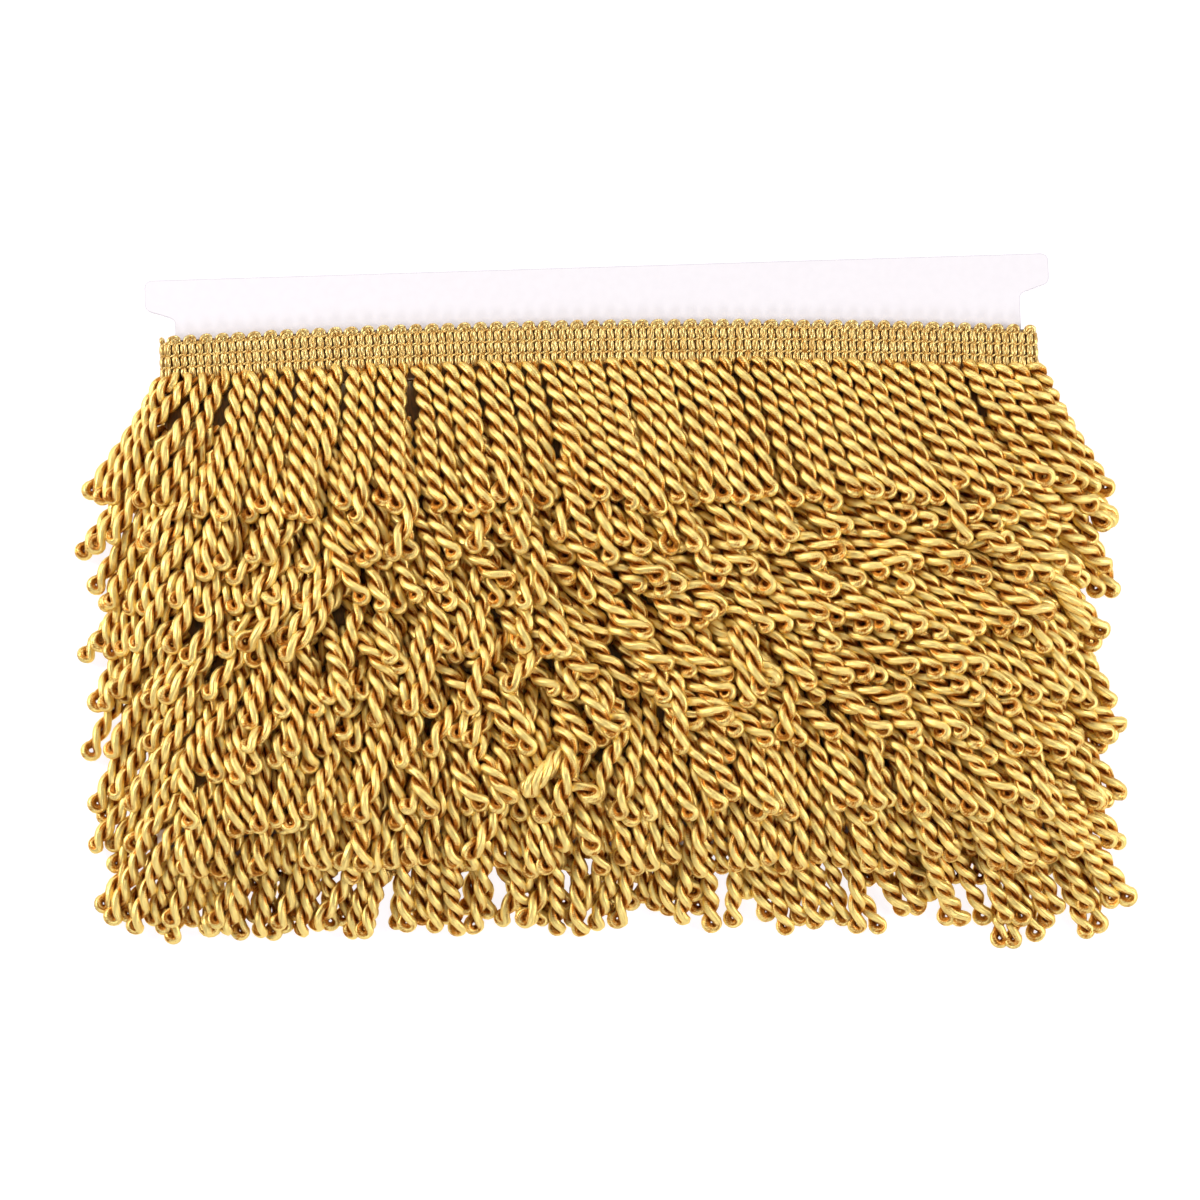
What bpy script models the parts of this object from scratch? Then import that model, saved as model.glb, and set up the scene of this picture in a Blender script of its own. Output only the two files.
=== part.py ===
"""Cord fringe trim, wound in nine turns on a flat eared card, lying on its back.

The card lies level, with its face up (+Z) and its top edge towards +Y. The heading, a narrow knitted
tape, goes round the card nine times, each turn just below the one before. The cords hang from each
turn's lower edge over the turns below it, so the wound form is a sleeve of shingled combs.
Everything is in metres.
"""

import math

import bmesh
import bpy

# Driving sizes.
WINDING_WIDTH = 0.255  # the card between its notches, where the trim is wound
CARD_HEIGHT = 0.175
CARD_THICKNESS = 0.0015
EAR_REACH = 0.009  # how far an ear stands out past the winding edge
EAR_HEIGHT = 0.009  # at the ear's outer side
EAR_SLOPE = 0.003  # how much deeper the notch's shoulder is than the ear's outer side
EAR_RADIUS = 0.0022
TURNS = 9
TURN_PITCH = 0.0155
HEADING_HEIGHT = 0.0135
HEADING_THICKNESS = 0.0022
HEADING_GROOVE = 0.0005  # how far the line between two turns of tape is drawn in
CORD_LENGTH = 0.0457
CORD_DIAMETER = 0.0048
BARE_CARD = 0.018  # card showing above the first turn
TILT = 0.021  # the turns run a little downhill to the right: fall over run
GAP = 0.0003  # between pieces that touch

# Heights above the surface that the winding lies on.
BACK_THICKNESS = 0.013  # the cords under the card, pressed flat by its weight
CARD_MIDDLE = BACK_THICKNESS + CARD_THICKNESS / 2

# Places along Y. The origin is under the middle of the whole, from the card's top edge to the last tips.
LOWEST_LOCK = 0.001615  # how far the lowest lock of the last turn hangs below its mean tips
WHOLE_LENGTH = BARE_CARD + HEADING_HEIGHT + (TURNS - 1) * TURN_PITCH + CORD_LENGTH + LOWEST_LOCK
CARD_TOP = WHOLE_LENGTH / 2
CARD_BOTTOM = CARD_TOP - CARD_HEIGHT
HEADING_TOP = CARD_TOP - BARE_CARD
FIRST_ROOT = HEADING_TOP - HEADING_HEIGHT

# The comb.
TEETH_ACROSS = 18  # on each face
TEETH_ROUND_QUARTER = 3  # on each quarter turn at the sides
TOOTH_SHARE = 0.72  # of the pitch, at a tooth's end
NOTCH = 0.005  # how deep the comb is cut between two locks of cord
LAST_NOTCH = 0.016  # the last turn hangs free, so its comb is deeper
LOCK_RELIEF = 0.0013  # how far the surface sinks between two locks
PRESSED_SHARE = 0.25  # of that relief, left under the card, where the cords are pressed flat
STEP_RUN = 0.0006  # the slope under a turn's tips
FLAT_WIDTH = 0.112  # half the width over which the wound form is flat
STEP_IN = 0.006  # how much narrower a turn is where it comes out from under the tips above
WIDEST_SHARE = 0.45  # of a turn's mean height, where it reaches furthest sideways
TIP_RISE = 0.002  # how far the tips' locks are drawn up by their twist
# How a turn's tips stray from a straight line: two waves, each with its height, its shift from one
# turn to the next and its length across.
TIP_WAVES = ((0.0012, 2.7, 0.019), (0.0008, 1.3, -0.043))

# Where the cords leave the first turn of tape.
ROOT_LAP = 0.0015  # how far they reach up over the tape's foot
ROOT_FLAT = 0.122  # half the width over which they lie flat
ROOT_REACH = 0.0062  # how far they stand out past the winding edge

# The outside of the wound form, one row a turn: how far it reaches left and right of the card's
# middle, and the height of its top where the turn comes out from under the tips above and at its
# own tips, in millimetres. The last turns hang past the card's lower edge, so they sink.
TURN_COLUMNS = ("left", "right", "top_at_start", "top_at_tips")
TURN_TABLE = (
    (151.5, 149.0, 19.4, 30.4),
    (156.0, 150.0, 26.6, 30.8),
    (156.0, 149.5, 27.2, 30.6),
    (154.0, 149.0, 26.8, 30.9),
    (154.0, 149.5, 27.0, 30.2),
    (155.5, 150.0, 26.5, 30.4),
    (156.0, 151.0, 26.4, 28.4),
    (154.5, 156.0, 24.2, 21.4),
    (147.0, 147.0, 17.4, 11.6),
)

# The inside of the wound form, from the last turn of tape down: its height over the card's foot, how
# far it is flat, how far it reaches sideways, the height of its middle and half its opening, in
# millimetres. It clears the tape, then the card's lower ears, then closes to a slit between the
# front cords and the back ones.
INSIDE_COLUMNS = ("over_foot", "flat", "reach", "middle", "half_gap")
INSIDE_TABLE = (
    (16.7, 127.5, 131.2, 13.75, 3.6),
    (13.2, 131.0, 139.5, 13.75, 1.7),
    (-1.0, 131.0, 139.5, 13.75, 1.7),
    (-5.3, 112.0, 138.5, 12.4, 0.4),
)
SURFACE = 0.0
SLIT_MIDDLE = 0.0058  # height of the slit at the last tips
HALF_SLIT = 0.0004
SLIT_SIDE = 0.004  # how far the slit stays inside the last turn's sides
MM = 0.001


def clear_scene():
    """Remove every object, so that only the model is left."""
    for old in list(bpy.data.objects):
        bpy.data.objects.remove(old, do_unlink=True)


def new_collection(name):
    """Make a collection in the scene."""
    collection = bpy.data.collections.new(name)
    bpy.context.scene.collection.children.link(collection)
    return collection


def new_material(name, colour, roughness, sheen=0.0):
    """Make a Principled material of one linear colour."""
    material = bpy.data.materials.new(name)
    material.use_nodes = True
    shader = material.node_tree.nodes["Principled BSDF"]
    shader.inputs["Base Color"].default_value = (*colour, 1.0)
    shader.inputs["Roughness"].default_value = roughness
    shader.inputs["Metallic"].default_value = 0.0
    shader.inputs["Sheen Weight"].default_value = sheen
    return material


def rows_of(columns, table):
    """Turn a table in millimetres into rows that are read by name, in metres."""
    return [dict(zip(columns, (value * MM for value in row))) for row in table]


def rounded_outline(corners, steps=4):
    """Points of a closed outline whose corners, given as (x, y, radius), are rounded by arcs."""
    points = []
    count = len(corners)
    for i, (x, y, radius) in enumerate(corners):
        before, after = corners[i - 1], corners[(i + 1) % count]
        back = (before[0] - x, before[1] - y)
        ahead = (after[0] - x, after[1] - y)
        back_length, ahead_length = math.hypot(*back), math.hypot(*ahead)
        back = (back[0] / back_length, back[1] / back_length)
        ahead = (ahead[0] / ahead_length, ahead[1] / ahead_length)
        half = math.acos(back[0] * ahead[0] + back[1] * ahead[1]) / 2
        bisector = (back[0] + ahead[0], back[1] + ahead[1])
        length = math.hypot(*bisector)
        centre = (
            x + bisector[0] / length * radius / math.sin(half),
            y + bisector[1] / length * radius / math.sin(half),
        )
        reach = radius / math.tan(half)
        start = (x + back[0] * reach, y + back[1] * reach)
        end = (x + ahead[0] * reach, y + ahead[1] * reach)
        first = math.atan2(start[1] - centre[1], start[0] - centre[0])
        last = math.atan2(end[1] - centre[1], end[0] - centre[0])
        turn = (last - first + math.pi) % (2 * math.pi) - math.pi
        for step in range(steps + 1):
            angle = first + turn * step / steps
            points.append(
                (centre[0] + radius * math.cos(angle), centre[1] + radius * math.sin(angle))
            )
    return points


def make_card(collection, material):
    """The flat white card, with an ear at each corner that keeps the trim from sliding off."""
    edge = WINDING_WIDTH / 2
    ear = edge + EAR_REACH
    shoulder = EAR_HEIGHT + EAR_SLOPE
    right = [
        (ear, CARD_TOP, EAR_RADIUS),
        (ear, CARD_TOP - EAR_HEIGHT, EAR_RADIUS),
        (edge, CARD_TOP - shoulder, EAR_RADIUS),
        (edge, CARD_BOTTOM + shoulder, EAR_RADIUS),
        (ear, CARD_BOTTOM + EAR_HEIGHT, EAR_RADIUS),
        (ear, CARD_BOTTOM, EAR_RADIUS),
    ]
    left = [(-x, y, radius) for x, y, radius in reversed(right)]
    outline = rounded_outline(right + left)
    curve = bpy.data.curves.new("card", "CURVE")
    curve.dimensions = "2D"
    curve.fill_mode = "BOTH"
    curve.extrude = CARD_THICKNESS / 2
    spline = curve.splines.new("POLY")
    spline.points.add(len(outline) - 1)
    for point, (x, y) in zip(spline.points, outline):
        point.co = (x, y, 0.0, 1.0)
    spline.use_cyclic_u = True
    card = bpy.data.objects.new("card", curve)
    card.location.z = CARD_MIDDLE
    card.data.materials.append(material)
    collection.objects.link(card)


def comb_stations():
    """Places round the winding, clockwise from the front's left end, seen from the card's foot.

    Each is (side, share, between): the side it is on, how far along that side it lies, from -1 to 1
    on a face and from 1 to -1 (top to bottom) at an edge, and whether it lies between two locks.
    """
    round_edge = 2 * TEETH_ROUND_QUARTER
    stations = []
    for side, count in (
        ("front", TEETH_ACROSS),
        ("right", round_edge),
        ("back", TEETH_ACROSS),
        ("left", round_edge),
    ):
        half = 1.0 / count
        for tooth in range(count):
            centre = -1.0 + (2 * tooth + 1) * half
            stations.append((side, centre - TOOTH_SHARE * half, False))
            stations.append((side, centre + TOOTH_SHARE * half, False))
            stations.append((side, centre + half, True))
    return stations


def section_point(side, share, flat, left, right, top, bottom, middle):
    """The X and Z of one station on a section: two flat faces joined by elliptical edges."""
    if side == "front":
        return share * flat, top
    if side == "back":
        return -share * flat, bottom
    angle = share * math.pi / 2  # -90 to 90 degrees along the edge, in the winding's direction
    reach = (right if side == "right" else left) - flat
    rise = -math.sin(angle) if side == "right" else math.sin(angle)
    tall = (top - middle) if rise > 0 else (middle - bottom)
    x = flat + reach * math.cos(angle)
    return (x if side == "right" else -x), middle + tall * rise


def skin(name, loops, collection, material):
    """A closed tube wall from loops of points: the outside from top to bottom, then the inside back up."""
    mesh = bpy.data.meshes.new(name)
    form = bmesh.new()
    rings = [[form.verts.new(point) for point in loop] for loop in loops]
    for i, ring in enumerate(rings):
        following = rings[(i + 1) % len(rings)]
        count = len(ring)
        for j in range(count):
            k = (j + 1) % count
            form.faces.new((ring[j], following[j], following[k], ring[k]))
    bmesh.ops.triangulate(form, faces=form.faces[:])
    bmesh.ops.recalc_face_normals(form, faces=form.faces[:])
    form.to_mesh(mesh)
    form.free()
    mesh.shade_smooth()
    mesh.set_sharp_from_angle(angle=math.radians(35))
    mesh.materials.append(material)
    solid = bpy.data.objects.new(name, mesh)
    collection.objects.link(solid)


def make_heading(collection, material):
    """The tape's wound form: nine turns side by side, with a fine groove between two turns."""
    stations = []
    for side, count in (("front", 3), ("right", 8), ("back", 3), ("left", 8)):
        stations += [(side, -1.0 + 2.0 * i / count) for i in range(count)]
    half = WINDING_WIDTH / 2

    def loop(y, depth):
        """The points round the card at one height on it, depth out from the card's surface."""
        out = CARD_THICKNESS / 2 + depth
        points = []
        for side, share in stations:
            x, z = section_point(side, share, half, half + out, half + out, out, -out, 0.0)
            points.append((x, y - TILT * x, CARD_MIDDLE + z))
        return points

    outer = GAP + HEADING_THICKNESS
    groove = outer - HEADING_GROOVE
    outside = []
    for turn in range(TURNS):
        top = HEADING_TOP - turn * TURN_PITCH
        if turn:
            outside.append(loop(top + (TURN_PITCH - HEADING_HEIGHT) / 2, groove))
        outside.append(loop(top - GAP, outer))
        outside.append(loop(top - HEADING_HEIGHT + GAP, outer))
    last = HEADING_TOP - (TURNS - 1) * TURN_PITCH - HEADING_HEIGHT
    loops = [loop(HEADING_TOP, GAP)] + outside + [loop(last, GAP)]
    skin("heading", loops, collection, material)


def unevenness(turn, x):
    """How far one turn's tips stray from a straight line."""
    return sum(height * math.sin(shift * turn + x / length) for height, shift, length in TIP_WAVES)


def tip_line(turn, x, between):
    """The Y of a turn's tips at one place across, drawn back between two locks of cord."""
    notch = LAST_NOTCH if turn == TURNS - 1 else NOTCH
    y = FIRST_ROOT - turn * TURN_PITCH - CORD_LENGTH - TILT * x
    return y + (notch if between else unevenness(turn, x) + TIP_RISE)


def make_fringe(collection, material):
    """The cords' wound form: a sleeve of shingled combs, flat where it lies on its back."""
    stations = comb_stations()
    turns = rows_of(TURN_COLUMNS, TURN_TABLE)
    root_reach = WINDING_WIDTH / 2 + ROOT_REACH
    root_height = CARD_THICKNESS / 2 + CORD_DIAMETER + GAP

    def outer_loop(place, flat, left, right, top, bottom, middle, relief):
        """One ring of the outside; place gives the Y of each station."""
        points = []
        for side, share, between in stations:
            sink = relief if between else 0.0
            x, z = section_point(
                side,
                share,
                flat,
                left - sink,
                right - sink,
                top - sink,
                bottom + PRESSED_SHARE * sink,
                middle,
            )
            points.append((x, place(x, between), z))
        return points

    def root_line(x, between):
        """The Y where the cords leave the first turn of tape."""
        return FIRST_ROOT + ROOT_LAP - TILT * x

    loops = [
        outer_loop(
            root_line,
            ROOT_FLAT,
            root_reach,
            root_reach,
            CARD_MIDDLE + root_height,
            CARD_MIDDLE - root_height,
            CARD_MIDDLE,
            0.0,
        )
    ]
    for turn, row in enumerate(turns):
        height = (row["top_at_start"] + row["top_at_tips"]) / 2
        middle = min(CARD_MIDDLE, WIDEST_SHARE * height)
        if turn:
            loops.append(
                outer_loop(
                    lambda x, between: tip_line(turn - 1, x, between) - STEP_RUN,
                    FLAT_WIDTH,
                    row["left"] - STEP_IN,
                    row["right"] - STEP_IN,
                    row["top_at_start"],
                    SURFACE,
                    middle,
                    LOCK_RELIEF / 2,
                )
            )
        tip_middle = SLIT_MIDDLE if turn == TURNS - 1 else middle
        loops.append(
            outer_loop(
                lambda x, between: tip_line(turn, x, between),
                FLAT_WIDTH,
                row["left"],
                row["right"],
                row["top_at_tips"],
                SURFACE,
                tip_middle,
                LOCK_RELIEF,
            )
        )

    def inner_loop(place, flat, reach, middle, half_gap):
        """One ring of the inside."""
        points = []
        for side, share, between in stations:
            x, z = section_point(
                side,
                share,
                flat,
                reach,
                reach,
                middle + half_gap,
                middle - half_gap,
                middle,
            )
            points.append((x, place(x, between), z))
        return points

    inside = rows_of(INSIDE_COLUMNS, INSIDE_TABLE)
    tape_end = inside[0]
    tape_room = [tape_end[name] for name in INSIDE_COLUMNS[1:]]
    rings = [
        inner_loop(root_line, *tape_room),
        inner_loop(lambda x, between: CARD_BOTTOM + tape_end["over_foot"] - TILT * x, *tape_room),
    ]
    for row in inside[1:]:
        room = [row[name] for name in INSIDE_COLUMNS[1:]]
        rings.append(inner_loop(lambda x, between: CARD_BOTTOM + row["over_foot"], *room))
    rings.append(
        inner_loop(
            lambda x, between: tip_line(TURNS - 1, x, between),
            FLAT_WIDTH,
            turns[-1]["left"] - SLIT_SIDE,
            SLIT_MIDDLE,
            HALF_SLIT,
        )
    )
    skin("fringe", loops + rings[::-1], collection, material)


def main():
    """Build the card, the tape's wound form and the cords' wound form."""
    clear_scene()
    collection = new_collection("cord_fringe_trim")
    card = new_material("white_card", (0.86, 0.86, 0.87), 0.55)
    tape = new_material("gold_tape", (0.66, 0.42, 0.09), 0.45, sheen=0.2)
    cord = new_material("gold_cord", (0.62, 0.37, 0.07), 0.4, sheen=0.2)
    make_card(collection, card)
    make_heading(collection, tape)
    make_fringe(collection, cord)


main()
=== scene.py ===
"""Cord fringe trim wound on an eared card: the looks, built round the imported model.

The trim is one strip. Its knitted tape runs round the card in a falling helix, and from the tape's
lower edge hang some thousand cords, each one strand of bright rayon doubled back on itself and
twisted. The cords are first laid out as chains of beads, which settle on the card, on each other
and on the surface, and then every chain is turned into its twisted strands.

Work is done in millimetres and handed over in metres. X runs along the card's long edges, Y towards
its top edge, and Z up out of the trim's face.
"""

import logging
import math
from dataclasses import dataclass, field
from enum import Enum

import bmesh
import bpy
import numpy as np
from mathutils import Matrix, Vector


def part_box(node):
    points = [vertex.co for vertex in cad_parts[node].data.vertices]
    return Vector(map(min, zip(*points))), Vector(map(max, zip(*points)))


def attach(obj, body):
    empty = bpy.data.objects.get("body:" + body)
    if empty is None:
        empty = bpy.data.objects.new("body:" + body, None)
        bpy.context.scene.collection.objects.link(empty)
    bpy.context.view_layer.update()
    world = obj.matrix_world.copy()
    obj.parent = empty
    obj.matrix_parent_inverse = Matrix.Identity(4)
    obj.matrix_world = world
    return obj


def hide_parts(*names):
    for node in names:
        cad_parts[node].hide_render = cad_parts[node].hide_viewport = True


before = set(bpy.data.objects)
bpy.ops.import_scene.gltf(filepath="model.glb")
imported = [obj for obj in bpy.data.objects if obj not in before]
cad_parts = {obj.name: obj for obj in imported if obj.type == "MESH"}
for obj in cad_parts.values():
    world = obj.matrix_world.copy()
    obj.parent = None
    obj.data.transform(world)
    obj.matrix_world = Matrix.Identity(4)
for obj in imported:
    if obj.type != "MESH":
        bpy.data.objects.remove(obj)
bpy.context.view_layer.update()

MM = 0.001
LOG = logging.getLogger("cord_fringe_trim")


class Side(Enum):
    """The stretches of one lap of the tape round the card, in the order it takes them."""

    FRONT = 0
    RIGHT = 1
    BACK = 2
    LEFT = 3


def linear(hex_colour: str) -> tuple[float, float, float, float]:
    """Turn an sRGB hex colour into a linear colour.

    Args:
        hex_colour: Six hex digits, such as "C89B2E".

    Returns:
        Red, green, blue and an alpha of 1.
    """
    channels = [int(hex_colour[i : i + 2], 16) / 255 for i in (0, 2, 4)]
    curved = [c / 12.92 if c <= 0.04045 else ((c + 0.055) / 1.055) ** 2.4 for c in channels]
    return (*curved, 1.0)


def set_inputs(tree: bpy.types.NodeTree, node: bpy.types.Node, sockets: dict) -> None:
    """Give a node its inputs.

    Args:
        tree: The tree that the node is in.
        node: The node.
        sockets: Input name or index to a value, or to the output socket that feeds it.
    """
    for name, value in sockets.items():
        if isinstance(value, bpy.types.NodeSocket):
            tree.links.new(value, node.inputs[name])
        else:
            node.inputs[name].default_value = value


def add_node(
    tree: bpy.types.NodeTree, kind: str, sockets: dict | None = None, **settings: object
) -> bpy.types.Node:
    """Add a node to a tree.

    Args:
        tree: The tree that the node joins.
        kind: The node's type name.
        sockets: Input name or index to a value, or to the output socket that feeds it.
        settings: Properties of the node, set before its sockets. For a colour ramp, stops is a
            list of places and hex colours.

    Returns:
        The new node.
    """
    node = tree.nodes.new(kind)
    stops = settings.pop("stops", ())
    for place, colour in stops:
        node.color_ramp.elements.new(place).color = linear(colour)
    for end in (0, -1) if stops else ():
        node.color_ramp.elements.remove(node.color_ramp.elements[end])
    for name, value in settings.items():
        setattr(node, name, value)
    set_inputs(tree, node, sockets or {})
    return node


def box_mm(node: str) -> tuple[np.ndarray, np.ndarray]:
    """The lowest and highest corners of a CAD node, in millimetres."""
    low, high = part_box(node)
    return np.array(low) / MM, np.array(high) / MM


# ---------------------------------------------------------------------------------------------
# Finishes


@dataclass(frozen=True)
class Finish:
    """A material made of one Principled shader. Each kind says what goes into the shader."""

    name: str

    def make(self) -> bpy.types.Material:
        """Build the material.

        Returns:
            The material.
        """
        material = bpy.data.materials.new(self.name)
        material.use_nodes = True
        tree = material.node_tree
        set_inputs(tree, tree.nodes["Principled BSDF"], self.inputs(tree))
        return material

    def inputs(self, tree: bpy.types.NodeTree) -> dict:
        """Say what goes into the shader's sockets, each a value or the socket that feeds it."""
        raise NotImplementedError


@dataclass(frozen=True)
class BrightRayon(Finish):
    """Bright rayon strand: a few soft plies of filament that lie almost along it.

    The filaments draw its lustre out into lines along the strand, painted shade darkens the seams
    between the plies to deep orange, and the thread that binds them shows as fine ribs across. The
    cord's outside gets a painted highlight and its inner side painted shade.
    """

    light: str = "FFE38E"
    mid: str = "C27A26"
    dark: str = "662C04"
    gloss: str = "FFEFA8"  # the thread's own colour tints what it throws back
    plies: int = 5
    ply_height: float = 0.1  # millimetres, as are the next three
    streak_height: float = 0.18
    rib_height: float = 0.03
    rib_pitch: float = 0.6  # coarser than the real thread, so that it shows
    streak_run: float = 3.4  # in every ten millimetres along it, fewer and wider than the real
    streak_count: float = 11.0  # and round it
    streak_shade: float = 0.58
    # painted shade: the seams between the plies are darker
    ply_painted_shade: float = 0.16
    rib_shade: float = 0.2
    # painted light: a painted highlight on the cord's outside, painted shade on its inner side
    crest_painted_light: float = 0.6
    tone_shade: float = 0.07
    ply_run: float = 2.2  # radians by which the plies turn round the strand every ten millimetres
    ply_wander: float = 2.6
    rib_evenness: float = 0.2  # how much of a rib is even, the rest of it being loose thread
    crest_bend: float = 1.5
    rough: float = 0.56  # between the streaks
    smooth: float = 0.36  # and on them
    lustre: float = 0.8
    drawn_out: float = 0.5

    def inputs(self, tree: bpy.types.NodeTree) -> dict:
        """Draw streaks, plies and ribs on the strand, with painted shade in its seams and on its inner
        side and a painted highlight on the cord's outside.

        Args:
            tree: The material's tree. The UV map runs along the strand in centimetres and once
            round it, "tone" is the strand's own shade plus painted light on the lower turns, and
            "crest" is 1 on the cord's outside, which gets a painted highlight, and falls towards
            the cord's middle, which gets painted shade.

        Returns:
            The shader's inputs.
        """
        uv = add_node(tree, "ShaderNodeUVMap", uv_map="UVMap")
        split = add_node(tree, "ShaderNodeSeparateXYZ", {0: uv.outputs[0]})
        made = {"run": split.outputs["X"], "around": split.outputs["Y"]}
        for name in ("tone", "crest"):
            made[name] = add_node(tree, "ShaderNodeAttribute", attribute_name=name).outputs["Fac"]
        where = {"X": made["run"], "Y": made["around"], "Z": made["tone"]}
        place = add_node(tree, "ShaderNodeCombineXYZ", where).outputs[0]
        ribs = 10 / self.rib_pitch
        for name, scale, detail in (
            ("streak", (self.streak_run, self.streak_count, 37.0), 3.0),
            ("thread", (ribs, 2.0, 53.0), 2.0),
        ):
            drawn = add_node(tree, "ShaderNodeMapping", {0: place, "Scale": scale})
            grain = {"Vector": drawn.outputs[0], "Scale": 1.0, "Detail": detail, "Roughness": 0.6}
            made[name] = add_node(tree, "ShaderNodeTexNoise", grain).outputs["Fac"]
        steps = (
            ("drift", "MULTIPLY", "run", self.ply_run),
            ("wander", "MULTIPLY_ADD", "streak", self.ply_wander, "drift"),
            ("ply_angle", "MULTIPLY_ADD", "around", math.tau * self.plies, "wander"),
            ("half_angle", "MULTIPLY", "ply_angle", 0.5),
            ("ply_wave", "SINE", "half_angle"),
            ("ply", "ABSOLUTE", "ply_wave"),
            ("rib_angle", "MULTIPLY_ADD", "run", math.tau * ribs, "ply_angle"),
            ("rib_wave", "SINE", "rib_angle"),
            ("rib", "MULTIPLY_ADD", "rib_wave", self.rib_evenness, "thread"),
            ("ply_rise", "MULTIPLY", "ply", self.ply_height),
            ("streak_rise", "MULTIPLY_ADD", "streak", self.streak_height, "ply_rise"),
            ("height", "MULTIPLY_ADD", "rib", self.rib_height * 2, "streak_rise"),
            # painted light: the crest lifts the shade on the cord's outside and leaves its inner side
            # dark
            ("outer", "MAXIMUM", "crest", 0.0),
            ("outer_bent", "POWER", "outer", self.crest_bend),
            ("shade_streak", "MULTIPLY", "streak", self.streak_shade),
            ("shade_tone", "MULTIPLY_ADD", "tone", self.tone_shade, "shade_streak"),
            ("shade_ply", "MULTIPLY_ADD", "ply", self.ply_painted_shade, "shade_tone"),
            ("shade_crest", "MULTIPLY_ADD", "outer_bent", self.crest_painted_light, "shade_ply"),
            ("shade", "MULTIPLY_ADD", "rib", self.rib_shade, "shade_crest"),
        )
        for name, operation, *values in steps:
            sockets = {i: made.get(value, value) for i, value in enumerate(values)}
            made[name] = add_node(tree, "ShaderNodeMath", sockets, operation=operation).outputs[0]
        stops = [(0.42, self.dark), (0.71, self.mid), (0.91, self.light)]
        colour = add_node(tree, "ShaderNodeValToRGB", {"Fac": made["shade"]}, stops=stops)
        fall = {"Value": made["streak"], "To Min": self.rough, "To Max": self.smooth}
        rise = {"Height": made["height"], "Distance": MM, "Strength": 1.0}
        along = add_node(tree, "ShaderNodeTangent", direction_type="UV_MAP", uv_map="UVMap")
        return {
            "Base Color": colour.outputs[0],
            "Roughness": add_node(tree, "ShaderNodeMapRange", fall).outputs[0],
            "Normal": add_node(tree, "ShaderNodeBump", rise).outputs[0],
            "Tangent": along.outputs[0],
            "Metallic": self.lustre,
            "Specular IOR Level": 0.8,
            "Specular Tint": linear(self.gloss),
            "Anisotropic": self.drawn_out,
        }


@dataclass(frozen=True)
class KnittedYarn(Finish):
    """Two-ply rayon yarn, knitted: softer than the wrapped strands, with fine lengthwise fibres."""

    light: str = "FFE79C"
    dark: str = "BC822C"
    gloss: str = "FFF4C4"
    fibre_mm: float = 0.5  # coarser than the real, so that it shows
    fibre_rise_mm: float = 0.12
    lustre: float = 0.55

    def inputs(self, tree: bpy.types.NodeTree) -> dict:
        """Streak the yarn up and down the tape.

        Args:
            tree: The material's tree.

        Returns:
            The shader's inputs.
        """
        place = add_node(tree, "ShaderNodeTexCoord").outputs["Object"]
        drawn = add_node(tree, "ShaderNodeMapping", {"Vector": place, "Scale": (1.0, 0.22, 1.0)})
        grain = {"Vector": drawn.outputs[0], "Scale": 1 / (self.fibre_mm * MM), "Detail": 3.0}
        fibre = add_node(tree, "ShaderNodeTexNoise", grain).outputs["Fac"]
        stops = [(0.34, self.dark), (0.64, self.light)]
        colour = add_node(tree, "ShaderNodeValToRGB", {"Fac": fibre}, stops=stops)
        fall = {"Value": fibre, "To Min": 0.45, "To Max": 0.28}
        rise = {"Height": fibre, "Distance": self.fibre_rise_mm * MM, "Strength": 0.7}
        return {
            "Base Color": colour.outputs[0],
            "Roughness": add_node(tree, "ShaderNodeMapRange", fall).outputs[0],
            "Normal": add_node(tree, "ShaderNodeBump", rise).outputs[0],
            "Metallic": self.lustre,
            "IOR": 1.7,
            "Specular IOR Level": 0.9,
            "Specular Tint": linear(self.gloss),
        }


@dataclass(frozen=True)
class Board(Finish):
    """White lined board: smooth and matt, with the faintest mottle of its pulp."""

    face: str = "EEEAF0"
    shade: str = "ECE8EE"
    rim: str = "B4AEBA"  # painted shade along the cut edge, a faint grey outline
    rim_mm: float = 0.5
    mottle_mm: float = 2.5
    mottle_rise_mm: float = 0.02

    def inputs(self, tree: bpy.types.NodeTree) -> dict:
        """Mottle the faces and paint shade along the cut edge, which a Bevel node finds.

        Args:
            tree: The material's tree.

        Returns:
            The shader's inputs.
        """
        place = add_node(tree, "ShaderNodeTexCoord").outputs["Object"]
        grain = {"Vector": place, "Scale": 1 / (self.mottle_mm * MM), "Detail": 4.0}
        mottle = add_node(tree, "ShaderNodeTexNoise", grain).outputs["Fac"]
        stops = [(0.35, self.shade), (0.65, self.face)]
        colour = add_node(tree, "ShaderNodeValToRGB", {"Fac": mottle}, stops=stops)
        fall = {"Value": mottle, "To Min": 0.5, "To Max": 0.62}
        rise = {"Height": mottle, "Distance": self.mottle_rise_mm * MM, "Strength": 0.5}
        # painted shade: where the bevelled normal turns from the flat one, the cut edge is greyed as a
        # faint outline
        rounded = add_node(tree, "ShaderNodeBevel", {"Radius": self.rim_mm * MM}, samples=4)
        flat = add_node(tree, "ShaderNodeNewGeometry").outputs["Normal"]
        normals = {0: rounded.outputs[0], 1: flat}
        even = add_node(tree, "ShaderNodeVectorMath", normals, operation="DOT_PRODUCT")
        turned = {"Value": even.outputs["Value"], "From Min": 0.98, "From Max": 0.8}
        edge = add_node(tree, "ShaderNodeMapRange", turned)
        layers = {0: edge.outputs[0], 6: colour.outputs[0], 7: linear(self.rim)}
        return {
            "Base Color": add_node(tree, "ShaderNodeMix", layers, data_type="RGBA").outputs[2],
            "Roughness": add_node(tree, "ShaderNodeMapRange", fall).outputs[0],
            "Normal": add_node(tree, "ShaderNodeBump", rise).outputs[0],
        }


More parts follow.
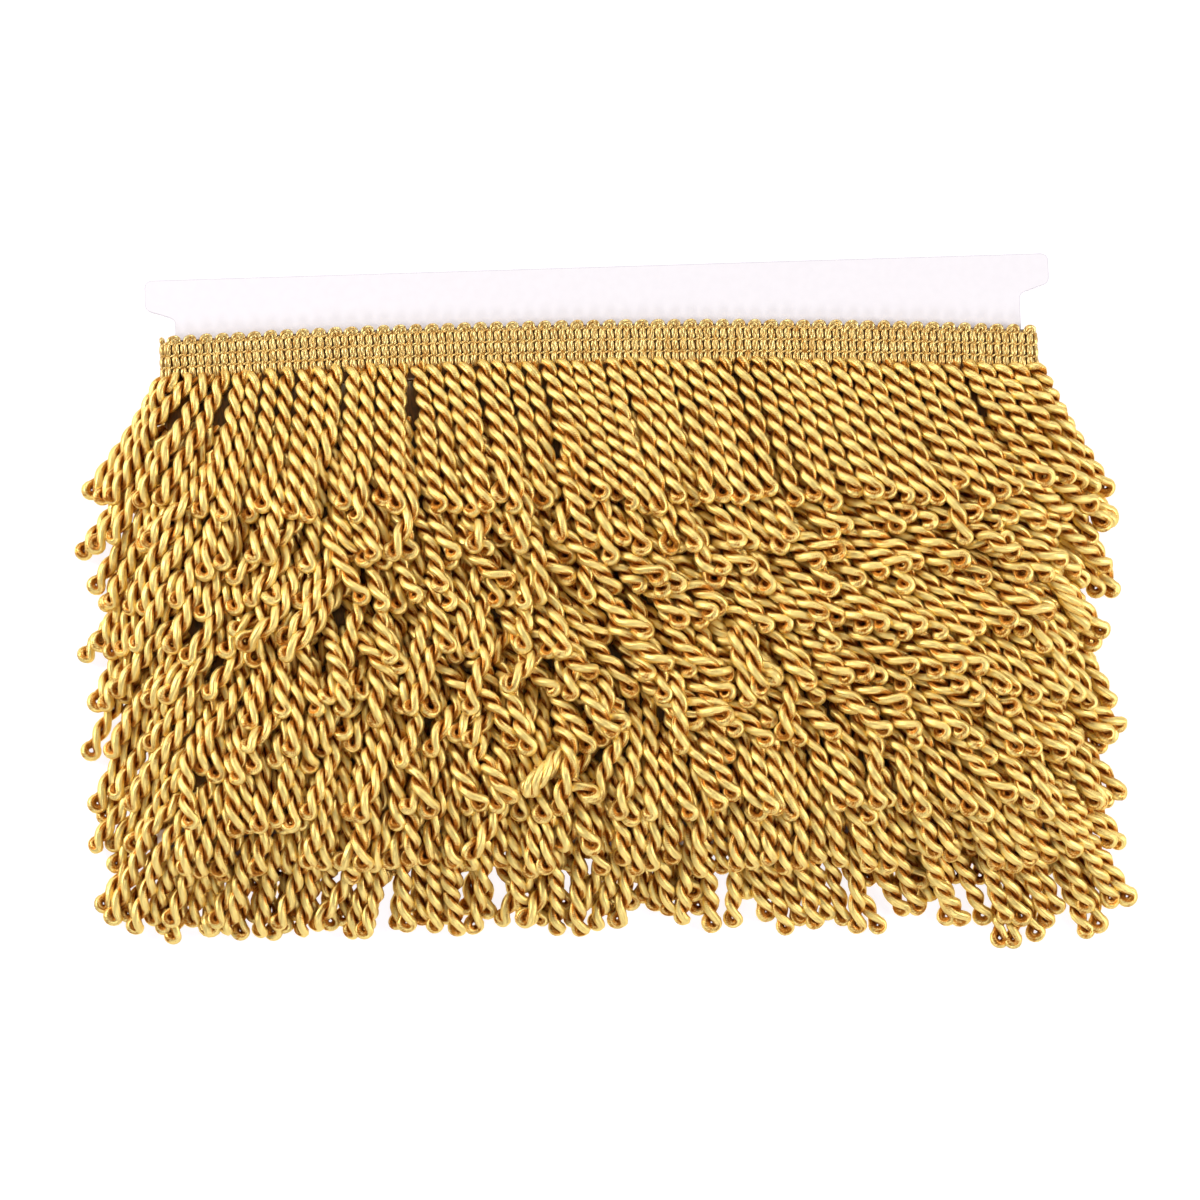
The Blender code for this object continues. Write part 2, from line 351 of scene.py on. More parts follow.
@dataclass(frozen=True)
class PaleSurface(Finish):
    """The plain pale surface that the trim lies on, lit a little from behind."""

    name: str = "pale_surface"
    colour: str = "8C8A8E"
    lit: str = "FBF9FD"
    glow: float = 0.9

    def inputs(self, tree: bpy.types.NodeTree) -> dict:
        """Say how pale the surface is and how much it glows.

        Args:
            tree: The material's tree, which gets no more nodes.

        Returns:
            The shader's inputs.
        """
        return {
            "Base Color": linear(self.colour),
            "Roughness": 0.7,
            "Emission Color": linear(self.lit),
            "Emission Strength": self.glow,
        }


# ---------------------------------------------------------------------------------------------
# The winding


@dataclass
class Winding:
    """The helix that the middle of the tape's thickness follows round the card."""

    middle_z: float
    half_width: float
    top_y: float  # of the tape's upper edge where the first turn starts, at the front's left end
    board: float
    turns: int = 9
    pitch: float = 15.5
    front_fall: float = 4.5
    bow: float = 3.2  # how far the tape arches up in the middle of the front
    side_slack: float = 1.3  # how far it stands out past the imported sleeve's bends
    top_slack: float = 1.0
    tape_height: float = 13.5
    tape_thickness: float = 1.8
    clearance: float = 0.3
    lead_in: float = 215.0  # tape behind the card before the first turn
    tail: float = 25.0  # and behind it after the last

    @property
    def bend(self) -> float:
        """How far the tape's middle stands off the card's middle."""
        return self.board / 2 + self.clearance + self.tape_thickness / 2

    @property
    def lap(self) -> float:
        """The length of one turn."""
        return 4 * self.half_width + 2 * math.pi * self.bend

    @property
    def end(self) -> float:
        """Where the tape is cut, measured along it from the first turn's start."""
        return (self.turns - 1) * self.lap + 2 * self.half_width + math.pi * self.bend + self.tail

    def at(self, along: np.ndarray) -> tuple[np.ndarray, np.ndarray, np.ndarray, np.ndarray]:
        """Where the tape is.

        Args:
            along: Distances along the tape from the start of the first turn.

        Returns:
            Points on the tape's upper edge, directions along it, normals out of it, and the turn
            that each is on.
        """
        along = np.asarray(along, float)
        turn = np.floor(along / self.lap)
        rest = along - turn * self.lap
        face, edge, r = 2 * self.half_width, math.pi * self.bend, self.bend
        stops = [0.0, face, face + edge, 2 * face + edge]
        side = np.searchsorted(stops, rest, side="right") - 1
        local = rest - np.array(stops)[side]
        bent = local / r
        w = self.half_width
        sine, cosine = np.sin(bent), np.cos(bent)
        choices = {
            Side.FRONT: (-w + local, r + 0 * local, 0 * local, 1 + 0 * local),
            Side.RIGHT: (w + r * sine, r * cosine, sine, cosine),
            Side.BACK: (w - local, -r + 0 * local, 0 * local, -1 + 0 * local),
            Side.LEFT: (-w - r * sine, -r * cosine, -sine, -cosine),
        }
        x, z, nx, nz = (
            np.select([side == s.value for s in Side], [choices[s][i] for s in Side])
            for i in range(4)
        )
        slow = self.front_fall * np.clip(rest / face, 0, 1)
        fast = (self.pitch - self.front_fall) * np.clip((rest - face) / (self.lap - face), 0, 1)
        y = self.top_y - self.pitch * turn - slow - fast
        y = y + np.where(side == Side.FRONT.value, self.bow * (1 - (x / w) ** 2), 0)
        point = np.stack([x, y, self.middle_z + z], -1)
        normal = np.stack([nx, 0 * nx, nz], -1)
        direction = np.stack([nz, 0 * nx, -nx], -1)
        return point, direction, normal, turn.astype(int)


# ---------------------------------------------------------------------------------------------
# The cords as chains of beads


@dataclass(frozen=True)
class Twist:
    """How a cord is made up."""

    strand_radius: float = 1.36
    throw: float = 1.26  # from the cord's middle to a strand's
    lay: float = 10.2  # one whole turn of the twist, at the root
    slack_lay: float = 13.4  # and at the tip, where the twist has opened
    tight: tuple[float, float] = (0.88, 1.14)  # least and most share of that lay in one cord
    slack_swell: float = 0.1  # how much fatter the slackest cord is at the tip
    phase_spread: float = 0.3  # radians by which one cord starts its twist ahead of another
    eye_radius: float = 1.7  # of the strand's middle line where it turns back
    eye_sizes: tuple[float, float] = (0.86, 1.12)  # least and most share of that radius
    eye_girth: float = 0.07  # how much fatter the slack strand is round the eye
    eye_turn: float = 0.8  # radians by which the strands still turn round each other in the eye
    eye_sections: int = 6
    open_share: float = 0.15  # of the cords, those whose eye hangs open
    open_least: float = 0.7
    open_swell: float = 0.22
    stout_bulk: float = 1.22  # a thick cord's girth beside a plain one's
    root_sink: float = 1.9  # how far its root is sunk into the tape
    press: float = 1.05  # of a strand's radius, how close its middle comes to the surface


# The lean of the cords in degrees, to the right of straight down, for each turn from the first to
# the ninth, at seven places across from the left to the right.
BEHIND = -0.3  # a cord whose way out of the tape points this far down lies behind the card
LEAN_PLACES = (-135.0, -90.0, -45.0, 0.0, 45.0, 90.0, 135.0)
LEAN_TABLE = (
    (-30, -7, 3, 8, 15, 22, 28),
    (-27, -7, 5, 15, 32, 40, 18),
    (-24, -5, 10, 30, 44, 46, 15),
    (-24, -10, 14, 34, 36, 42, 10),
    (-24, -11, 6, 28, 32, 42, 6),
    (-24, -12, 2, 34, 42, 42, 6),
    (-23, -8, 0, 8, 22, 26, 2),
    (-22, -10, -14, 2, 2, 18, 4),
    (-17, -12, -8, 0, 8, 18, 20),
)


@dataclass(frozen=True)
class Drape:
    """How unevenly the cords hang: angles in degrees, lengths in millimetres."""

    pitch_spread: float = 0.25
    length_spread: float = 1.5
    root_lean: float = 0.35  # the share of its lean that a cord has at the root
    tip_lean: float = 0.95  # and how much more it has at the tip
    back_share: float = 0.35  # how much of the front's lean the cords behind the card have
    back_spread: float = 5.0
    turn_places: tuple[float, ...] = (0, 1, 3, 5, 7, 8)
    turn_unruly: tuple[float, ...] = (4, 8, 13, 15, 12, 8)
    places: tuple[float, ...] = (-130, -105, -80, -10, 45, 130)
    place_unruly: tuple[float, ...] = (0.4, 0.55, 1.1, 1.1, 0.7, 0.55)
    clump: int = 7  # cords that lean alike
    clump_gain: float = 2.2
    clump_share: float = 0.75
    own_share: float = 0.65
    curl: float = 1.2
    hook: float = 2.0  # how much the tips turn aside
    first_hook: float = 1.2  # on the first turn
    weave: float = 2.0
    weave_turns: float = 1.1
    side_start: float = 100.0  # from the middle, where the cords begin to lean outwards
    side_width: float = 27.0
    side_spread: float = 27.0
    first_side_spread: float = 14.0
    left_gain: float = 1.25
    side_fade: float = 0.75
    least: float = -60.0
    most: float = 66.0
    first_rise: float = 1.0  # how far a cord rises over its own tape
    rise_gain: float = 1.18  # and over each cord below, in diameters
    last_row: float = 0.25  # of a diameter, the rise past the last turn
    ripple: float = 0.12


@dataclass(frozen=True)
class Settling:
    """How fast the cords settle: lengths in millimetres a step, shares of a fault mended."""

    late_from: float = 0.8  # of the steps, after which the cords are only eased
    fall: float = 0.07
    late_fall: float = 0.02
    aim: float = 0.05
    late_aim: float = 0.01
    stiff: float = 0.22
    stretch: float = 0.25
    push: float = 0.42
    most_push: float = 0.9
    search_every: int = 12
    search_cell: float = 0.4
    search_gap: float = 1.6
    card_give: float = 0.96  # of a cord's radius, how close it is pressed to the card
    surface_give: float = 0.98  # and to the surface
    foot_margin: float = 0.5


@dataclass
class Pile:
    """The wound cords, laid out along the tape and settled under their own weight."""

    winding: Winding
    card_low: np.ndarray
    card_high: np.ndarray
    drape: Drape = Drape()
    settling: Settling = Settling()
    pitch: float = 4.85
    length: float = 46.0
    last_extra: float = 4.0  # the last turn's cords hang free and so a little longer
    beads: int = 14
    radius: float = 2.2
    stout_radius: float = 2.9
    stout_share: float = 0.012
    steps: int = 420
    quick_steps: int = 60
    seed: int = 1914
    end_gap: float = 3.0  # from the tape's cut ends to the nearest cords
    root_drop: float = 12.4  # the cords are sewn to the tape's foot
    root_stand: float = 1.2
    slack_swell: float = 0.06
    pressed: float = 0.86  # how thin the cords behind the card are pressed
    ear_height: float = 12.0  # of the card's lower ears, which the last cords lie over
    chains: np.ndarray = field(init=False)
    turn: np.ndarray = field(init=False)
    normal: np.ndarray = field(init=False)
    facing: np.ndarray = field(init=False)
    stout: np.ndarray = field(init=False)
    long: np.ndarray = field(init=False)
    step: np.ndarray = field(init=False)  # the length between two beads of each cord
    aim: np.ndarray = field(init=False)  # the way each cord would hang from bead to bead

    def lay_out(self) -> None:
        """Start every cord at the tape's foot and let it run down over the turns below."""
        rng = np.random.default_rng(self.seed)
        path, drape = self.winding, self.drape
        along = np.arange(-path.lead_in + self.end_gap, path.end - self.end_gap, self.pitch)
        along = along + rng.normal(0, drape.pitch_spread, along.size)
        point, _, normal, turn = path.at(along)
        root = point + np.array([0, -self.root_drop, 0]) + normal * self.root_stand
        count = along.size
        self.turn = np.clip(turn, 0, path.turns - 1)
        self.normal = normal
        self.facing = normal[:, 2]
        self.stout = (rng.random(count) < self.stout_share) & (turn > 0)
        self.long = self.length + rng.normal(0, drape.length_spread, count)
        self.long += np.where(self.turn == path.turns - 1, self.last_extra, 0)
        angle = np.radians(self.angles(root[:, 0], rng))
        step = (self.long / (self.beads - 1))[:, None]
        drop = np.cumsum(np.cos(angle[:, 1:]) * step, 1)
        shift = np.cumsum(np.sin(angle[:, 1:]) * step, 1)
        rows = (path.turns - 1 - self.turn)[:, None] + drape.last_row
        below = np.minimum(drop / path.pitch, rows) * 2 * self.radius
        rise = self.facing[:, None] * (drape.first_rise + below * drape.rise_gain)
        chains = np.repeat(root[:, None], self.beads, 1)
        chains[:, 1:] += np.stack([shift, -drop, rise], -1)
        chains[:, 1:, 2] += rng.normal(0, drape.ripple, chains[:, 1:, 2].shape)
        self.chains = chains
        self.aim = np.stack([np.sin(angle[:, 1:]) * step, -np.cos(angle[:, 1:]) * step], -1)
        self.step = step[:, 0]

    def angles(self, x: np.ndarray, rng: np.random.Generator) -> np.ndarray:
        """Say how every cord leans from bead to bead.

        Args:
            x: Where each cord's root is across the card.
            rng: The source of the cords' unevenness.

        Returns:
            Degrees to the right of straight down, a row for each cord.
        """
        drape, count, first = self.drape, x.size, self.turn == 0
        reach = np.linspace(0, 1, self.beads)[None]
        lean = np.array([np.interp(a, LEAN_PLACES, LEAN_TABLE[k]) for a, k in zip(x, self.turn)])
        loose = drape.back_share * lean + rng.normal(0, drape.back_spread, count)
        lean = np.where(self.facing < BEHIND, loose, lean)
        unruly = np.interp(self.turn, drape.turn_places, drape.turn_unruly)
        unruly = unruly * np.interp(x, drape.places, drape.place_unruly)
        alike = np.ones(drape.clump) / drape.clump * drape.clump_gain
        clump = np.convolve(rng.normal(0, 1, count + drape.clump - 1), alike, "valid")[:count]
        lean = lean + unruly * (drape.own_share * rng.normal(0, 1, count) + drape.clump_share * clump)
        curl = rng.normal(0, 1, count) * unruly * drape.curl
        hook = rng.normal(0, 1, count) * np.where(first, drape.first_hook, drape.hook) * unruly
        weave = np.abs(rng.normal(0, 1, count)) * unruly * drape.weave
        phase = rng.uniform(0, 1, count)
        outward = np.clip((np.abs(x) - drape.side_start) / drape.side_width, 0, 1) * np.sign(x)
        spread = np.where(first, drape.first_side_spread, drape.side_spread)
        spread = spread * np.where(outward < 0, drape.left_gain, 1.0) * outward
        wave = np.sin(math.tau * (reach * drape.weave_turns + phase[:, None]))
        angle = (
            lean[:, None] * (drape.root_lean + drape.tip_lean * reach)
            + spread[:, None] * (1 - drape.side_fade * reach)
            + curl[:, None] * (reach - 0.5)
            + hook[:, None] * reach**4
            + weave[:, None] * wave
        )
        return np.clip(angle, drape.least, drape.most)

    def settle(self, steps: int) -> None:
        """Let gravity pull the cords down until they lie on what is under them.

        Args:
            steps: How many times to pull them down and push them apart.
        """
        chains, rate = self.chains, self.settling
        girth = np.where(self.stout, self.stout_radius, self.radius)
        girth = np.where(self.facing < BEHIND, girth * self.pressed, girth)
        swell = 1 + self.slack_swell * np.linspace(0, 1, self.beads) ** 2
        girth = girth[:, None] * swell[None]
        owner = np.repeat(np.arange(len(chains)), self.beads)
        wide = girth.reshape(-1)
        loose = np.tile(np.arange(self.beads) > 0, len(chains)).astype(float)
        pair_a = pair_b = np.zeros(0, int)
        for turn in range(steps):
            flat = chains.reshape(-1, 3)
            if turn % rate.search_every == 0:
                pair_a, pair_b = self.neighbours(flat, owner, wide)
            late = turn > steps * rate.late_from
            chains[:, 1:, 2] -= rate.late_fall if late else rate.fall
            ahead = chains[:, 1:, :2] - chains[:, :-1, :2]
            chains[:, 1:, :2] += (rate.late_aim if late else rate.aim) * (self.aim - ahead)
            middle = 0.5 * (chains[:, 2:] + chains[:, :-2])
            chains[:, 1:-1] += rate.stiff * (middle - chains[:, 1:-1])
            self.keep_length(chains)
            for _ in range(2):
                self.push_apart(flat, pair_a, pair_b, wide, loose)
            self.keep_off(chains, girth)

    def neighbours(
        self, beads: np.ndarray, owner: np.ndarray, wide: np.ndarray
    ) -> tuple[np.ndarray, np.ndarray]:
        """Find beads of different cords that are close enough to meet soon.

        Args:
            beads: Where all the beads are.
            owner: The cord that each bead is on.
            wide: Each bead's radius.

        Returns:
            The numbers of the beads of each pair, as two arrays.
        """
        reach = 2 * wide.max() + self.settling.search_cell
        cell = np.floor((beads - beads.min(0)) / reach).astype(np.int64) + 1
        span = cell.max(0) + 2
        key = (cell[:, 0] * span[1] + cell[:, 1]) * span[2] + cell[:, 2]
        order = np.argsort(key, kind="stable")
        ranked = key[order]
        here = np.arange(beads.shape[0])
        near = (-1, 0, 1)
        shifts = {(x * span[1] + y) * span[2] + z for x in near for y in near for z in near}
        found_a, found_b = [], []
        for shift in sorted(shift for shift in shifts if shift >= 0):
            first = here + 1 if shift == 0 else np.searchsorted(ranked, ranked + shift, "left")
            last = np.searchsorted(ranked, ranked + shift, "right")
            many = np.maximum(last - first, 0)
            start = np.repeat(np.cumsum(many) - many, many)
            found_a.append(np.repeat(here, many))
            found_b.append(np.arange(many.sum()) - start + np.repeat(first, many))
        a, b = order[np.concatenate(found_a)], order[np.concatenate(found_b)]
        apart = np.linalg.norm(beads[a] - beads[b], axis=1)
        met = (owner[a] != owner[b]) & (apart < wide[a] + wide[b] + self.settling.search_gap)
        return a[met], b[met]

    def push_apart(
        self, beads: np.ndarray, a: np.ndarray, b: np.ndarray, wide: np.ndarray, loose: np.ndarray
    ) -> None:
        """Move beads that overlap away from each other, in place.

        Args:
            beads: Where all the beads are.
            a: The first bead of each pair.
            b: The second bead of each pair.
            wide: Each bead's radius.
            loose: 1 for a bead that may move, 0 for one at a root.
        """
        gap = beads[a] - beads[b]
        apart = np.sqrt((gap * gap).sum(1)) + 1e-9
        over = wide[a] + wide[b] - apart
        hit = over > 0
        a, b, gap, apart, over = a[hit], b[hit], gap[hit], apart[hit], over[hit]
        weight = loose[a] + loose[b]
        push = gap * (self.settling.push * over / apart / np.maximum(weight, 1))[:, None]
        total, most = beads.shape[0], self.settling.most_push
        for axis in range(3):
            move = np.bincount(a, push[:, axis] * loose[a], total)
            move -= np.bincount(b, push[:, axis] * loose[b], total)
            beads[:, axis] += np.clip(move, -most, most)

    def keep_length(self, chains: np.ndarray) -> None:
        """Bring every stretch between two beads back to its length, from the root down.

        Args:
            chains: The cords' beads, which move in place.
        """
        for i in range(1, self.beads):
            run = chains[:, i] - chains[:, i - 1]
            long = np.linalg.norm(run, axis=1)
            fault = (long - self.step) / long
            share = 0.0 if i == 1 else self.settling.stretch
            chains[:, i - 1] += run * (share * fault)[:, None]
            chains[:, i] -= run * ((1 - share) * fault)[:, None]

    def keep_off(self, chains: np.ndarray, girth: np.ndarray) -> None:
        """Keep the beads out of the surface, the card and the tape.

        Args:
            chains: The cords' beads, which move in place.
            girth: Their radii.
        """
        path, give = self.winding, self.settling
        free = chains[:, 1:]
        x, y, z = free[..., 0], free[..., 1], free[..., 2]
        wide = girth[:, 1:]
        tape_foot = path.top_y - (path.turns - 1) * path.pitch - path.tape_height
        tape_foot = tape_foot - path.front_fall * (x + path.half_width) / (2 * path.half_width)
        tape = path.board / 2 + path.clearance + path.tape_thickness
        thick = np.where(y > tape_foot, tape, path.board / 2)
        over_card = y > self.card_low[1] + give.foot_margin
        limit = np.where(y < self.card_low[1] + self.ear_height, self.card_high[0], path.half_width)
        near_x = np.clip(x, -limit, limit)
        dx, dz = x - near_x, z - path.middle_z
        facing = np.broadcast_to(self.facing[:, None], dz.shape)
        on_face = np.abs(dx) < 1e-6
        room = thick + wide * give.card_give
        front = on_face & over_card & (facing >= 0)
        back = on_face & over_card & (facing < 0)
        z = np.where(front, np.maximum(z, path.middle_z + room), z)
        z = np.where(back, np.minimum(z, path.middle_z - room), z)
        off = np.sqrt(dx * dx + dz * dz) + 1e-9
        beside = ~on_face & over_card & (off < room)
        x = np.where(beside, near_x + dx * room / off, x)
        z = np.where(beside, path.middle_z + dz * room / off, z)
        free[..., 0] = x
        free[..., 2] = np.maximum(z, wide * give.surface_give)


def smooth_through(points: np.ndarray, at: np.ndarray) -> np.ndarray:
    """Read a Catmull-Rom curve through a chain of points.

    Args:
        points: The chain, n by 3.
        at: Where to read it, from 0 at the first point to n - 1 at the last.

    Returns:
        One point for each reading.
    """
    padded = np.vstack([2 * points[0] - points[1], points, 2 * points[-1] - points[-2]])
    whole = np.clip(np.floor(at).astype(int), 0, len(points) - 2)
    t = (at - whole)[:, None]
    a, b, c, d = (padded[whole + i] for i in range(4))
    return 0.5 * (
        2 * b + (c - a) * t + (2 * a - 5 * b + 4 * c - d) * t**2 + (3 * b - a - 3 * c + d) * t**3
    )


# ---------------------------------------------------------------------------------------------
# Strands


@dataclass
class StrandBatch:
    """Polylines that one Geometry Nodes tree turns into the strands of one piece."""

    points: list[np.ndarray] = field(default_factory=list)
    near: list[bool] = field(default_factory=list)
    tones: list[float] = field(default_factory=list)
    girths: list[np.ndarray] = field(default_factory=list)
    inward: list[np.ndarray] = field(default_factory=list)

    def add(
        self, points: np.ndarray, near: bool, tone: float, girth: np.ndarray, inward: np.ndarray
    ) -> None:
        """Add one strand.

        Args:
            points: Its middle line.
            near: Whether it is on the side that shows.
            tone: How pale it is beside the others, with painted light on the cords below the first
                turn.
            girth: Its radius at every point.
            inward: The way to the cord's middle at every point.
        """
        self.points.append(points)
        self.near.append(near)
        self.tones.append(tone)
        self.girths.append(girth)
        self.inward.append(inward)

    def source_mesh(self, name: str) -> bpy.types.Mesh:
        """Make a mesh of edges only, with what the tree needs stored on its points.

        Args:
            name: The mesh's name.

        Returns:
            The mesh, in metres.
        """
        sizes = [len(p) for p in self.points]
        starts = np.cumsum([0] + sizes[:-1])
        edges = np.concatenate(
            [np.stack([np.arange(n - 1), np.arange(1, n)], 1) + s for n, s in zip(sizes, starts)]
        )
        mesh = bpy.data.meshes.new(name)
        mesh.from_pydata((np.vstack(self.points) * MM).tolist(), edges.tolist(), [])
        stored = {
            "near": np.repeat(np.array(self.near, float), sizes),
            "tone": np.repeat(np.array(self.tones), sizes),
            "girth": np.concatenate(self.girths),
        }
        for label, values in stored.items():
            layer = mesh.attributes.new(label, "FLOAT", "POINT")
            layer.data.foreach_set("value", values)
        layer = mesh.attributes.new("inward", "FLOAT_VECTOR", "POINT")
        layer.data.foreach_set("vector", np.vstack(self.inward).ravel())
        return mesh


def strand_tree() -> bpy.types.NodeTree:
    """The tree that gives each polyline a round section, with its UV map along the strand.

    Returns:
        The tree, with the number of sides and the material as its inputs.
    """
    tree = bpy.data.node_groups.new("round_strands", "GeometryNodeTree")
    tree.is_modifier = True
    for label, kind in (
        ("Geometry", "Geometry"), ("Sides near", "Int"), ("Sides far", "Int"), ("Material", "Material"),
    ):
        tree.interface.new_socket(label, in_out="INPUT", socket_type="NodeSocket" + kind)
    tree.interface.new_socket("Geometry", in_out="OUTPUT", socket_type="NodeSocketGeometry")
    given = add_node(tree, "NodeGroupInput").outputs
    named = {}
    for name in ("near", "girth", "run", "around", "inward"):
        kind = "FLOAT_VECTOR" if name == "inward" else "FLOAT"
        read = add_node(tree, "GeometryNodeInputNamedAttribute", {"Name": name}, data_type=kind)
        named[name] = read.outputs[0]
    chosen = add_node(tree, "FunctionNodeCompare", {"A": named["near"], "B": 0.5}, data_type="FLOAT")
    split = {"Geometry": given["Geometry"], "Selection": chosen.outputs[0]}
    parts = add_node(tree, "GeometryNodeSeparateGeometry", split, domain="EDGE").outputs
    joined = add_node(tree, "GeometryNodeJoinGeometry")
    for lines, sides in ((parts[0], "Sides near"), (parts[1], "Sides far")):
        curve = add_node(tree, "GeometryNodeMeshToCurve", {"Mesh": lines}).outputs[0]
        ring = {"Resolution": given[sides], "Radius": MM}
        ring = add_node(tree, "GeometryNodeCurvePrimitiveCircle", ring).outputs[0]
        marked = []
        for line, name, reading in ((curve, "run", "Length"), (ring, "around", "Factor")):
            measure = add_node(tree, "GeometryNodeSplineParameter").outputs[reading]
            kept = {"Geometry": line, "Name": name, "Value": measure}
            kind = {"data_type": "FLOAT", "domain": "POINT"}
            marked.append(add_node(tree, "GeometryNodeStoreNamedAttribute", kept, **kind).outputs[0])
        sized = {"Curve": marked[0], "Radius": named["girth"]}
        sized = add_node(tree, "GeometryNodeSetCurveRadius", sized).outputs[0]
        sweep = {"Curve": sized, "Profile Curve": marked[1], "Fill Caps": True, "Scale": named["girth"]}
        tube = add_node(tree, "GeometryNodeCurveToMesh", sweep)
        tree.links.new(tube.outputs[0], joined.inputs[0])
    across = {"data_type": "FLOAT", "domain": "FACE"}
    named["middle"] = add_node(
        tree, "GeometryNodeFieldOnDomain", {0: named["around"]}, **across
    ).outputs[0]
    # crest, 1 on the cord's outside and 0 towards its middle, drives the rayon's painted highlight and
    # painted shade
    faced = add_node(tree, "GeometryNodeInputNormal").outputs[0]
    pair = {0: named["inward"], 1: faced}
    turned_in = add_node(tree, "ShaderNodeVectorMath", pair, operation="DOT_PRODUCT")
    named["turned_in"] = turned_in.outputs["Value"]
    # The last face round the strand ends at 1, not at 0.
    for name, operation, *values in (
        ("start", "LESS_THAN", "around", 0.01),
        ("last", "GREATER_THAN", "middle", 0.3),
        ("full", "MULTIPLY_ADD", "start", "last", "around"),
        ("centimetres", "MULTIPLY", "run", 100.0),
        ("crest", "MULTIPLY_ADD", "turned_in", -0.5, 0.5),
    ):
        sockets = {i: named.get(value, value) for i, value in enumerate(values)}
        named[name] = add_node(tree, "ShaderNodeMath", sockets, operation=operation).outputs[0]
    unwrapped = {"X": named["centimetres"], "Y": named["full"]}
    named["unwrapped"] = add_node(tree, "ShaderNodeCombineXYZ", unwrapped).outputs[0]
    form = joined.outputs[0]
    for label, source, kind, domain in (
        ("UVMap", "unwrapped", "FLOAT2", "CORNER"), ("crest", "crest", "FLOAT", "POINT"),
    ):
        kept = {"Geometry": form, "Name": label, "Value": named[source]}
        kind = {"data_type": kind, "domain": domain}
        form = add_node(tree, "GeometryNodeStoreNamedAttribute", kept, **kind).outputs[0]
    finish_tree(tree, form, given["Material"])
    return tree


def finish_tree(
    tree: bpy.types.NodeTree, form: bpy.types.NodeSocket, material: bpy.types.NodeSocket
) -> None:
    """End a tree: smooth shading, real meshes and the material.

    Args:
        tree: The tree.
        form: The socket that gives the finished geometry.
        material: The socket that gives the material.
    """
    real = add_node(tree, "GeometryNodeRealizeInstances", {"Geometry": form})
    smooth = add_node(tree, "GeometryNodeSetShadeSmooth", {"Geometry": real.outputs[0]})
    dress = {"Geometry": smooth.outputs[0], "Material": material}
    dressed = add_node(tree, "GeometryNodeSetMaterial", dress)
    tree.links.new(dressed.outputs[0], add_node(tree, "NodeGroupOutput").inputs[0])


def grow(
    name: str, mesh: bpy.types.Mesh, tree: bpy.types.NodeTree, settings: dict[str, object]
) -> bpy.types.Object:
    """Run a tree on a mesh and keep the result as a plain mesh object.

    Args:
        name: The finished object's name.
        mesh: What the tree starts from.
        tree: The Geometry Nodes tree.
        settings: Socket name to value, for the tree's inputs.

    Returns:
        The finished object, with no modifier.
    """
    source = bpy.data.objects.new(name + "_source", mesh)
    bpy.context.scene.collection.objects.link(source)
    modifier = source.modifiers.new("grow", "NODES")
    modifier.node_group = tree
    for item in tree.interface.items_tree:
        if item.in_out == "INPUT" and item.name in settings:
            modifier[item.identifier] = settings[item.name]
    graph = bpy.context.evaluated_depsgraph_get()
    made = bpy.data.meshes.new_from_object(source.evaluated_get(graph), depsgraph=graph)
    made.name = name
    bpy.data.objects.remove(source, do_unlink=True)
    piece = bpy.data.objects.new(name, made)
    bpy.context.scene.collection.objects.link(piece)
    return piece


def loft(form: bmesh.types.BMesh, rings: list) -> None:
    """Add one closed skin over rings of points in millimetres, with a flat face at each end.

    Args:
        form: What the skin is added to.
        rings: The rings in order, each with as many points as the next.
    """
    made = [[form.verts.new(point * MM) for point in ring] for ring in rings]
    for a, b in zip(made, made[1:]):
        for i in range(len(a)):
            j = (i + 1) % len(a)
            form.faces.new((a[i], a[j], b[j], b[i]))
    form.faces.new(made[0][::-1])
    form.faces.new(made[-1])


def closed_mesh(name: str, form: bmesh.types.BMesh) -> bpy.types.Mesh:
    """Make a mesh of closed skins, facing out, and free what it was built in.

    Args:
        name: The mesh's name.
        form: The skins.

    Returns:
        The mesh.
    """
    bmesh.ops.recalc_face_normals(form, faces=form.faces[:])
    mesh = bpy.data.meshes.new(name)
    form.to_mesh(mesh)
    form.free()
    return mesh


